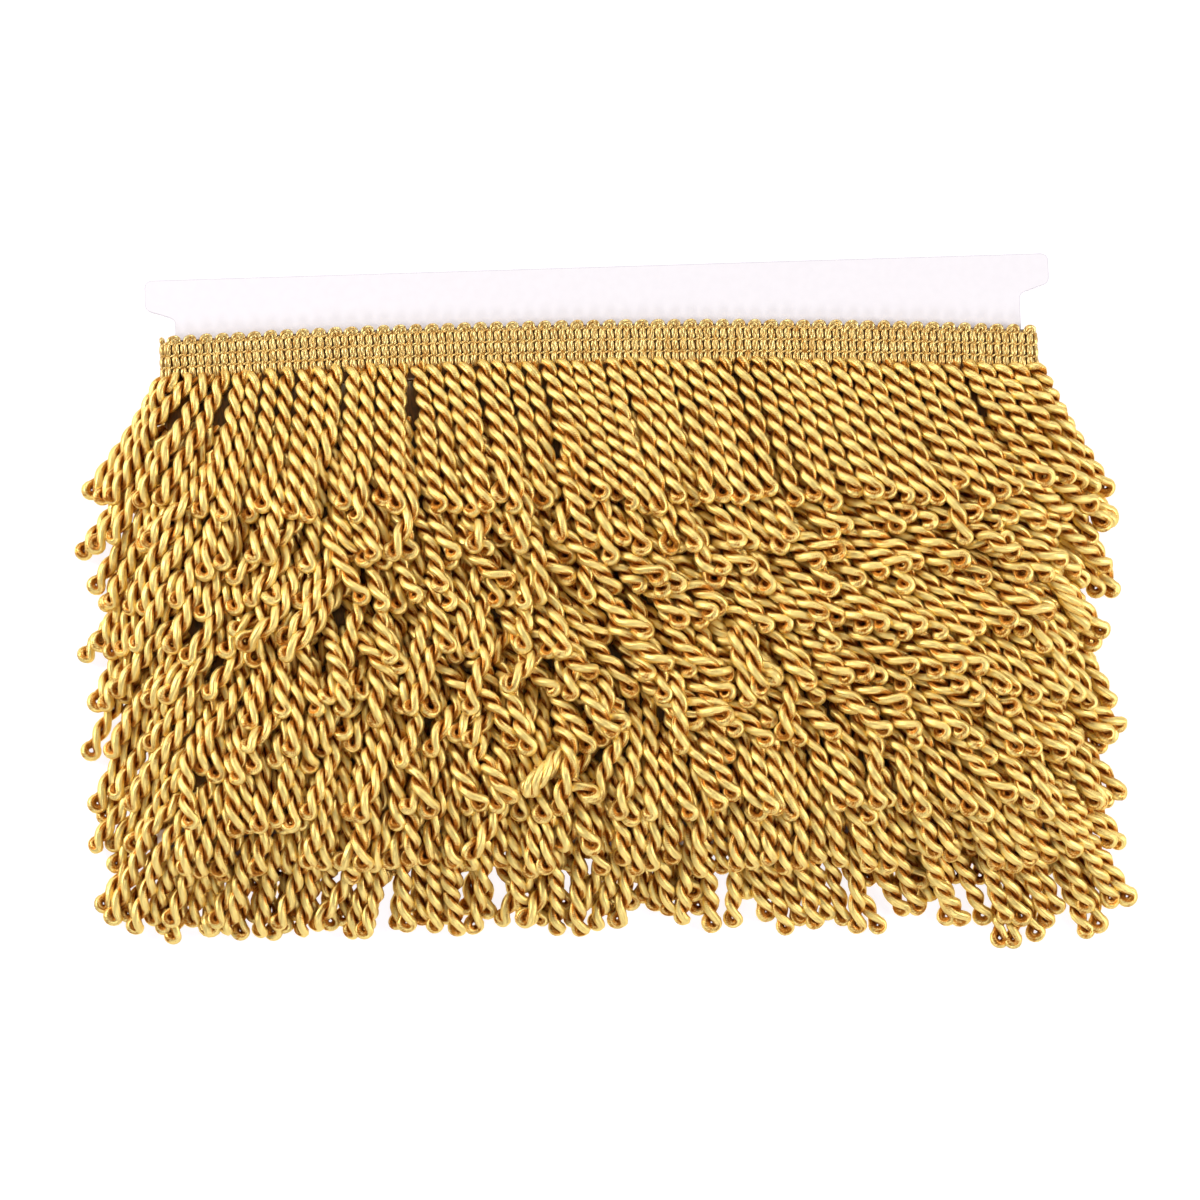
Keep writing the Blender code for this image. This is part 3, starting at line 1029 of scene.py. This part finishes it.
@dataclass
class Fringe:
    """The cords of all nine turns, each turn a piece of its own."""

    pile: Pile
    material: bpy.types.Material
    twist: Twist = Twist()
    seed: int = 77
    fine_step: float = 1.05
    back_step: float = 1.5
    hidden_step: float = 2.7
    covered: float = 17.0  # how much of a cord the turn above it covers
    side_covered: float = 8.0  # past the card's edges
    side_from: float = 118.0
    back_covered: float = 28.0
    first_back_covered: float = 14.0
    tone_spread: float = 0.33
    lower_painted_light: float = 0.6  # the cords below the first turn are painted paler, painted light against the shade deeper in the pile
    girth_spread: float = 0.04
    first_sides: int = 8
    near_sides: int = 7
    far_sides: int = 5

    def frames(self, middle: np.ndarray) -> tuple[np.ndarray, np.ndarray, np.ndarray]:
        """Find the directions along, across and out of a cord.

        Args:
            middle: The cord's middle line.

        Returns:
            The three directions at every point of it.
        """
        along = np.gradient(middle, axis=0)
        along /= np.linalg.norm(along, axis=1)[:, None]
        out = np.array([0, 0, 1.0]) - along * along[:, 2:3]
        out /= np.linalg.norm(out, axis=1)[:, None] + 1e-6
        return along, np.cross(out, along), out

    def depths(self, total: float, seen_from: float, step: float) -> np.ndarray:
        """Choose where a cord's strands get a section, coarsely where the cord is covered.

        Args:
            total: How far down the cord its eye starts.
            seen_from: How far down it comes into view.
            step: The spacing of sections where it shows.

        Returns:
            Distances down the cord.
        """
        hidden = np.linspace(0, seen_from, max(2, int(seen_from / self.hidden_step) + 1))
        count = int((total - seen_from) / step) + 1
        seen = np.linspace(seen_from, total, max(3, count))
        return np.concatenate([hidden[:-1], seen]) if seen_from > 0 else seen

    def strands(
        self, cord: int, seen_from: float, step: float, rng: np.random.Generator
    ) -> list[tuple[np.ndarray, np.ndarray, np.ndarray]]:
        """Lead one cord's strands down one side of it, round the eye and up again.

        Args:
            cord: The cord's number in the pile.
            seen_from: How far down the cord it comes into view.
            step: The spacing of sections where it shows.
            rng: The source of its unevenness.

        Returns:
            Each strand's middle line, with its radius and the way to the cord's middle at every
            point of it. A thick cord has two strands, another has one.
        """
        twist, pile = self.twist, self.pile
        chain, long, stout = pile.chains[cord], pile.long[cord], pile.stout[cord]
        bulk = twist.stout_bulk if stout else 1.0
        loose = rng.uniform(twist.open_least, 1.0) if rng.random() < twist.open_share else 0.0
        ring = twist.eye_radius * rng.uniform(*twist.eye_sizes) * (1 + twist.open_swell * loose) * bulk
        slack = 1 + twist.slack_swell * rng.uniform(0, 1)
        tight = rng.uniform(*twist.tight) * bulk
        first, last = twist.lay * tight, twist.slack_lay * tight
        entry = math.asin(min(twist.throw * bulk * slack / ring, 1.0))
        eye = ring * (1 + math.cos(entry))
        total = long - eye
        down = self.depths(total, seen_from, step)
        round_eye = np.linspace(entry, math.pi, twist.eye_sections + 1)[1:]
        depth = np.concatenate([down, total + ring * (math.cos(entry) - np.cos(round_eye))])
        share = np.minimum(depth / total, 1)
        fat = 1 + (slack - 1) * share * share
        eye_turn = np.concatenate([np.zeros(down.size), np.maximum(round_eye - math.pi / 2, 0)])
        radius = np.concatenate([twist.throw * bulk * fat[: down.size], ring * np.sin(round_eye)])
        lay = first + (last - first) * share
        inside = np.maximum(depth - total, 0) / eye
        turned = rng.normal(0, twist.phase_spread) + twist.eye_turn * (1 - inside) ** 2
        turned = turned + math.tau * total / (last - first) * np.log(last / lay)
        beads = len(chain) - 1
        middle = smooth_through(chain, np.clip(depth / (long / beads), 0, beads - 1e-6))
        along, across, out = self.frames(middle)
        dip = np.clip(1 - depth / twist.strand_radius / 2, 0, 1)
        middle = middle - pile.normal[cord] * (twist.root_sink * dip * dip)[:, None]
        girth = twist.strand_radius * fat * (1 + twist.eye_girth * np.sin(eye_turn))
        wide = np.concatenate([girth, girth[-2::-1]])
        lines = []
        for start in (0.0, math.pi / 2) if stout else (0.0,):
            angle = turned + start
            away = np.cos(angle)[:, None] * across + np.sin(angle)[:, None] * out
            offset = radius[:, None] * away
            line = np.vstack([middle + offset, (middle - offset)[-2::-1]])
            line[:, 2] = np.maximum(line[:, 2], wide * twist.press)
            flat = away * np.cos(eye_turn)[:, None]
            inward = flat + along * np.sin(eye_turn)[:, None]
            lines.append((line, wide, np.vstack([-inward, flat[-2::-1]])))
        return lines

    def seen_from(self, cord: int) -> float:
        """Say how far down a cord comes out from under the turn above it.

        Args:
            cord: The cord's number in the pile.

        Returns:
            The distance from its root.
        """
        behind = self.pile.facing[cord] < BEHIND
        if self.pile.turn[cord] == 0:
            return self.first_back_covered if behind else 0.0
        if behind:
            return self.back_covered
        at_side = abs(self.pile.chains[cord, 0, 0]) > self.side_from
        return self.side_covered if at_side else self.covered

    def build(self) -> list[bpy.types.Object]:
        """Make every turn's piece.

        Returns:
            The pieces, from the first turn to the last.
        """
        rng = np.random.default_rng(self.seed)
        tree = strand_tree()
        pieces = []
        for turn in range(self.pile.winding.turns):
            batch = StrandBatch()
            for cord in np.flatnonzero(self.pile.turn == turn):
                behind = self.pile.facing[cord] < BEHIND
                step = self.back_step if behind else self.fine_step
                lines = self.strands(cord, self.seen_from(cord), step, rng)
                # painted light: the cords below the first turn are made paler to offset the shade
                # deeper in the pile
                tone = rng.normal(0 if turn == 0 else self.lower_painted_light, self.tone_spread)
                for line, girth, inward in lines:
                    girth = girth * rng.uniform(1 - self.girth_spread, 1 + self.girth_spread)
                    batch.add(line, not behind, tone, girth, inward)
            name = f"fringe_turn_{turn + 1}"
            settings = {
                "Sides near": self.first_sides if turn == 0 else self.near_sides,
                "Sides far": self.far_sides,
                "Material": self.material,
            }
            piece = grow(name, batch.source_mesh(name + "_lines"), tree, settings)
            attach(piece, "root")
            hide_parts("fringe")
            LOG.info("%s: %d strands, %d faces", name, len(batch.points), len(piece.data.polygons))
            pieces.append(piece)
        return pieces


# ---------------------------------------------------------------------------------------------
# The heading


@dataclass
class Heading:
    """The knitted tape: its ground, the ribs of stitches on the turn that shows, and its edge loops."""

    winding: Winding
    ground: bpy.types.Material
    yarn: bpy.types.Material
    column: float = 2.42
    rows: tuple[float, ...] = (-4.1, -7.7, -11.3)  # the middles of the stitch rows below the edge
    stitch_height: float = 4.0
    ties: tuple[float, ...] = (-2.3, -5.9, -9.5)  # the middles of the rows of cross threads
    stitch_stand: float = 0.85  # how far the stitches stand out from the tape's middle
    tie_stand: float = 1.15
    edge_place: float = -1.35
    edge_stand: float = 0.3
    past: float = 60.0  # how far past the card's left edge the stitches run on behind it
    seed: int = 5

    def ground_band(self) -> bpy.types.Object:
        """Make the tape's body, one strip from end to end.

        Returns:
            The strip.
        """
        path = self.winding
        laps = [(2 * path.half_width, 26), (math.pi * path.bend, 9)] * (2 * path.turns - 1)
        along = [np.linspace(-path.lead_in, 0, 14, endpoint=False)]
        place = 0.0
        for length, count in laps:
            along.append(place + np.linspace(0, length, count, endpoint=False))
            place += length
        along.append(np.linspace(place, path.end, 15))
        point, _, normal, _ = path.at(np.concatenate(along))
        thick = path.tape_thickness * 0.42
        top, foot, bevel = -1.2, -path.tape_height - 3.2, 0.6  # it reaches down behind the roots
        half = [(top, 0.5), (top - bevel, 1), (foot + bevel, 1), (foot, 0.5)]
        section = [(y, z * thick) for y, z in half] + [(y, -z * thick) for y, z in half[::-1]]
        form = bmesh.new()
        upward = np.array([0, 1.0, 0])
        loft(form, [[p + upward * y + n * z for y, z in section] for p, n in zip(point, normal)])
        mesh = closed_mesh("heading_ground", form)
        mesh.shade_smooth()
        mesh.materials.append(self.ground)
        band = bpy.data.objects.new("heading_ground", mesh)
        bpy.context.scene.collection.objects.link(band)
        return band

    def tube(self, form: bmesh.types.BMesh, line: np.ndarray, girths: np.ndarray, sides: int) -> None:
        """Add one closed tube along a short line of points.

        Args:
            form: What the tube is added to.
            line: The tube's middle line, n by 3.
            girths: Its radius at each point.
            sides: How many sides its section has.
        """
        along = np.gradient(line, axis=0)
        along /= np.linalg.norm(along, axis=1)[:, None]
        side = np.cross(along, np.array([0.15, 0.1, 1.0]))
        side /= np.linalg.norm(side, axis=1)[:, None]
        up = np.cross(side, along)
        turns = np.arange(sides) * math.tau / sides
        loft(
            form,
            [
                p + girth * (np.cos(turns)[:, None] * a + np.sin(turns)[:, None] * b)
                for p, a, b, girth in zip(line, side, up, girths)
            ],
        )

    def stitch(self) -> bpy.types.Mesh:
        """One stitch of the ribs: two plies that lean together, fat in the middle."""
        form = bmesh.new()
        share = np.linspace(-1, 1, 6)
        for side in (-1, 1):
            x = side * (0.52 - 0.3 * share**2) - 0.18 * share
            z = 0.42 - 0.5 * share**2 + 0.04 * side
            line = np.stack([x, self.stitch_height / 2 * share, z], 1)
            self.tube(form, line, 0.58 * (1 - 0.45 * share**4), 6)
        return closed_mesh("stitch", form)

    def edge_loop(self) -> bpy.types.Mesh:
        """One loop of the upper edge: a yarn that rises, turns over and curls in on itself."""
        form = bmesh.new()
        outer = [
            (-1.25, -1.9, 0.3), (-1.6, -0.5, 0.65), (-1.45, 0.65, 0.8), (-0.65, 1.3, 0.85),
            (0.45, 1.35, 0.8), (1.3, 0.75, 0.7), (1.6, -0.4, 0.55), (1.3, -1.9, 0.3),
        ]
        inner = [
            (-1.0, -2.2, 0.75), (-0.8, -0.9, 1.15), (-0.35, 0.1, 1.25), (0.35, 0.15, 1.15),
            (0.6, -0.8, 0.9), (0.6, -2.0, 0.6),
        ]
        for points, girth in ((outer, 0.64), (inner, 0.42)):
            points = np.array(points, float) * (0.92, 0.72, 1)
            points[:, 0] += 0.3 * points[:, 1]
            line = smooth_through(points, np.linspace(0, len(points) - 1.001, 11))
            share = np.linspace(-1, 1, len(line))
            self.tube(form, line, girth * (1 - 0.3 * share**6), 6)
        return closed_mesh("edge_loop", form)

    def tie(self) -> bpy.types.Mesh:
        """One bright cross thread between two stitches of a rib."""
        form = bmesh.new()
        share = np.linspace(-1, 1, 4)
        line = np.stack([0.75 * share, 0.35 * share, 0.25 - 0.3 * share**2], 1)
        self.tube(form, line, 0.34 * (1 - 0.35 * share**2), 5)
        return closed_mesh("tie", form)

    def repeat_tree(self) -> bpy.types.NodeTree:
        """The tree that sets copies of one shape along a line, upright on the tape.

        Returns:
            The tree, with the shape, its spacing, a seed and the material as its inputs.
        """
        tree = bpy.data.node_groups.new("along_tape", "GeometryNodeTree")
        tree.is_modifier = True
        for label, kind in (
            ("Geometry", "Geometry"), ("Shape", "Object"), ("Spacing", "Float"), ("Seed", "Int"),
            ("Material", "Material"),
        ):
            tree.interface.new_socket(label, in_out="INPUT", socket_type="NodeSocket" + kind)
        tree.interface.new_socket("Geometry", in_out="OUTPUT", socket_type="NodeSocketGeometry")
        given = add_node(tree, "NodeGroupInput").outputs
        curve = add_node(tree, "GeometryNodeMeshToCurve", {"Mesh": given["Geometry"]}).outputs[0]
        spread = {"Curve": curve, "Length": given["Spacing"]}
        spaced = add_node(tree, "GeometryNodeResampleCurve", spread, mode="LENGTH")
        held = {"Object": given["Shape"], "As Instance": True}
        shape = add_node(tree, "GeometryNodeObjectInfo", held).outputs["Geometry"]
        out = add_node(
            tree, "GeometryNodeInputNamedAttribute", {"Name": "out"}, data_type="FLOAT_VECTOR"
        )
        tangent = add_node(tree, "GeometryNodeInputTangent")
        axes = {"Primary Axis": out.outputs[0], "Secondary Axis": tangent.outputs[0]}
        facing = {"primary_axis": "Z", "secondary_axis": "X"}
        stand = add_node(tree, "FunctionNodeAxesToRotation", axes, **facing)
        sway, size = (
            add_node(
                tree,
                "FunctionNodeRandomValue",
                {"Min": least, "Max": most, "Seed": given["Seed"]},
                data_type="FLOAT_VECTOR",
            )
            for least, most in (
                ((-0.05, -0.05, -0.09), (0.05, 0.05, 0.09)), ((0.94, 0.96, 0.85), (1.06, 1.05, 1.15)),
            )
        )
        tilt = add_node(tree, "FunctionNodeEulerToRotation", {"Euler": sway.outputs[0]})
        turn = {"Rotation": stand.outputs[0], "Rotate By": tilt.outputs[0]}
        turned = add_node(tree, "FunctionNodeRotateRotation", turn, rotation_space="LOCAL")
        copies = {
            "Points": spaced.outputs[0],
            "Instance": shape,
            "Rotation": turned.outputs[0],
            "Scale": size.outputs[0],
        }
        copied = add_node(tree, "GeometryNodeInstanceOnPoints", copies)
        finish_tree(tree, copied.outputs[0], given["Material"])
        return tree

    def line_on_tape(self, name: str, below: float, stand: float) -> bpy.types.Mesh:
        """Draw a line along the first turn of tape, with its outward direction stored on it.

        Args:
            name: The mesh's name.
            below: Distance from the tape's upper edge, negative downwards.
            stand: Distance out from the tape's middle.

        Returns:
            The line, a mesh of edges only.
        """
        path = self.winding
        face, edge = 2 * path.half_width, math.pi * path.bend
        spans = (
            (-edge - self.past, -edge, 8), (-edge, 0, 10), (0, face, 40), (face, face + edge, 10),
        )
        along = [np.linspace(start, end, count, endpoint=False) for start, end, count in spans]
        along.append(np.linspace(face + edge, 2 * face, 20))
        point, _, normal, _ = path.at(np.concatenate(along))
        points = point + np.array([0, below, 0]) + normal * stand
        mesh = bpy.data.meshes.new(name)
        mesh.from_pydata((points * MM).tolist(), [(i, i + 1) for i in range(len(points) - 1)], [])
        layer = mesh.attributes.new("out", "FLOAT_VECTOR", "POINT")
        layer.data.foreach_set("vector", normal.ravel())
        return mesh

    def build(self) -> list[bpy.types.Object]:
        """Make the tape's ground, its stitches, its cross threads and its edge loops.

        Returns:
            The pieces.
        """
        pieces = [self.ground_band()]
        tree = self.repeat_tree()
        jobs = [
            (f"heading_{kind}_{i + 1}", shape, below, stand, self.column, self.seed + first + i)
            for kind, shape, rows, stand, first in (
                ("stitches", self.stitch, self.rows, self.stitch_stand, 0),
                ("ties", self.tie, self.ties, self.tie_stand, 20),
            )
            for i, below in enumerate(rows)
        ]
        edge = (self.edge_place, self.edge_stand, 2 * self.column, self.seed + 9)
        jobs.append(("heading_edge", self.edge_loop, *edge))
        for name, make, below, stand, spacing, seed in jobs:
            shape = bpy.data.objects.new(name + "_shape", make())
            bpy.context.scene.collection.objects.link(shape)
            line = self.line_on_tape(name + "_line", below, stand)
            settings = {
                "Shape": shape, "Spacing": spacing * MM, "Seed": seed, "Material": self.yarn,
            }
            pieces.append(grow(name, line, tree, settings))
            bpy.data.objects.remove(shape, do_unlink=True)
        for piece in pieces:
            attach(piece, "root")
            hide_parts("heading")
            LOG.info("%s: %d faces", piece.name, len(piece.data.polygons))
        return pieces


# ---------------------------------------------------------------------------------------------
# The room


@dataclass(frozen=True)
class Lamp:
    """A square soft lamp aimed at the trim: millimetres from the trim's middle, and watts."""

    name: str
    place: tuple[float, float, float]
    power: float
    colour: str = "FFFDF8"
    size: float = 420.0


LAMPS = (
    Lamp("lamp_left", (-1000, 350, 620), 11.3),
    Lamp("lamp_right", (1000, -150, 620), 8.4),
    Lamp("lamp_head", (150, 1050, 700), 6.2, "FFFFFF"),
    Lamp("lamp_foot", (-100, -1050, 700), 4.5, "FFFFFF"),
)


@dataclass
class Studio:
    """A pale surface under soft light, seen from almost straight above."""

    elevation: float = 86.0
    roll: float = 1.76
    distance: float = 1300.0
    field_width: float = 360.0
    aim: tuple[float, float, float] = (-1.9, 0.5, 16.0)
    sensor: float = 36.0
    surround: str = "F6F4FF"
    surround_light: float = 0.14  # what the surround lights the trim with
    surround_seen: float = 0.95  # and how bright it looks
    surface_width: float = 8000.0

    def surface(self) -> None:
        """Lay the surface, a wide plain sheet."""
        bpy.ops.mesh.primitive_plane_add(size=self.surface_width * MM, location=(0, 0, 0))
        sheet = bpy.context.object
        sheet.name = "surface"
        sheet.data.materials.append(PaleSurface().make())

    def hang(self, lamp: Lamp) -> None:
        """Hang a lamp.

        Args:
            lamp: The lamp.
        """
        data = bpy.data.lights.new(lamp.name, "AREA")
        data.shape = "SQUARE"
        data.size = lamp.size * MM
        data.energy = lamp.power
        data.color = linear(lamp.colour)[:3]
        hung = bpy.data.objects.new(lamp.name, data)
        hung.location = Vector(lamp.place) * MM
        hung.rotation_mode = "QUATERNION"
        hung.rotation_quaternion = (-hung.location).to_track_quat("-Z", "Y")
        bpy.context.scene.collection.objects.link(hung)

    def light(self) -> None:
        """Four soft lamps low round the trim, the left one strongest, and a white surround."""
        for lamp in LAMPS:
            self.hang(lamp)
        world = bpy.data.worlds.new("surround")
        world.use_nodes = True
        bpy.context.scene.world = world
        tree = world.node_tree
        seen = add_node(tree, "ShaderNodeLightPath").outputs["Is Camera Ray"]
        levels = {"Value": seen, "To Min": self.surround_light, "To Max": self.surround_seen}
        strength = add_node(tree, "ShaderNodeMapRange", levels).outputs[0]
        lit = {"Color": linear(self.surround), "Strength": strength}
        set_inputs(tree, tree.nodes["Background"], lit)
        bpy.context.scene.view_settings.view_transform = "Standard"

    def camera(self) -> None:
        """The camera, a long lens above the trim's foot, turned a little on its axis."""
        data = bpy.data.cameras.new("camera")
        data.sensor_width = self.sensor
        data.lens = data.sensor_width * self.distance / self.field_width
        camera = bpy.data.objects.new("camera", data)
        lift = math.radians(self.elevation)
        back = Vector((0, -math.cos(lift), math.sin(lift)))
        aim = Vector(self.aim) * MM
        camera.location = aim + back * self.distance * MM
        upright = (-back).to_track_quat("-Z", "Y").to_matrix().to_4x4()
        turn = Matrix.Rotation(math.radians(self.roll), 4, "Z").inverted()
        camera.matrix_world = Matrix.Translation(camera.location) @ upright @ turn
        data.clip_start, data.clip_end = 0.05, 20.0
        bpy.context.scene.collection.objects.link(camera)
        bpy.context.scene.camera = camera

    def build(self) -> None:
        """Set out the surface, the lamps and the camera."""
        self.surface()
        self.light()
        self.camera()


def main() -> None:
    """Build the camera and lamps, then the trim from its winding outwards."""
    logging.basicConfig(level=logging.INFO, format="%(name)s: %(message)s")
    Studio().build()
    card_low, card_high = box_mm("card")
    tape_low, tape_high = box_mm("heading")
    winding = Winding(
        middle_z=(card_low[2] + card_high[2]) / 2,
        half_width=tape_high[0] - (tape_high[2] - tape_low[2]) / 2 + Winding.side_slack,
        top_y=tape_high[1] - Winding.bow + Winding.top_slack,
        board=card_high[2] - card_low[2],
    )
    pile = Pile(winding, card_low, card_high)
    pile.lay_out()
    pile.settle(pile.steps)
    LOG.info("%d cords settled", len(pile.chains))
    rayon = BrightRayon("bright_rayon").make()
    Fringe(pile, rayon).build()
    tape = KnittedYarn("tape_yarn").make()
    # The tape's ground is painted dark brown: painted shade for the gaps between the cords and the
    # stitches.
    ground = KnittedYarn("tape_ground_painted_shade", light="74400C", dark="341A03", lustre=0.2).make()
    Heading(winding, ground, tape).build()
    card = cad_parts["card"]
    card.data.materials.clear()
    card.data.materials.append(Board("white_board").make())
    LOG.info("card: %d faces", len(card.data.polygons))


if __name__ == "__main__":
    main()
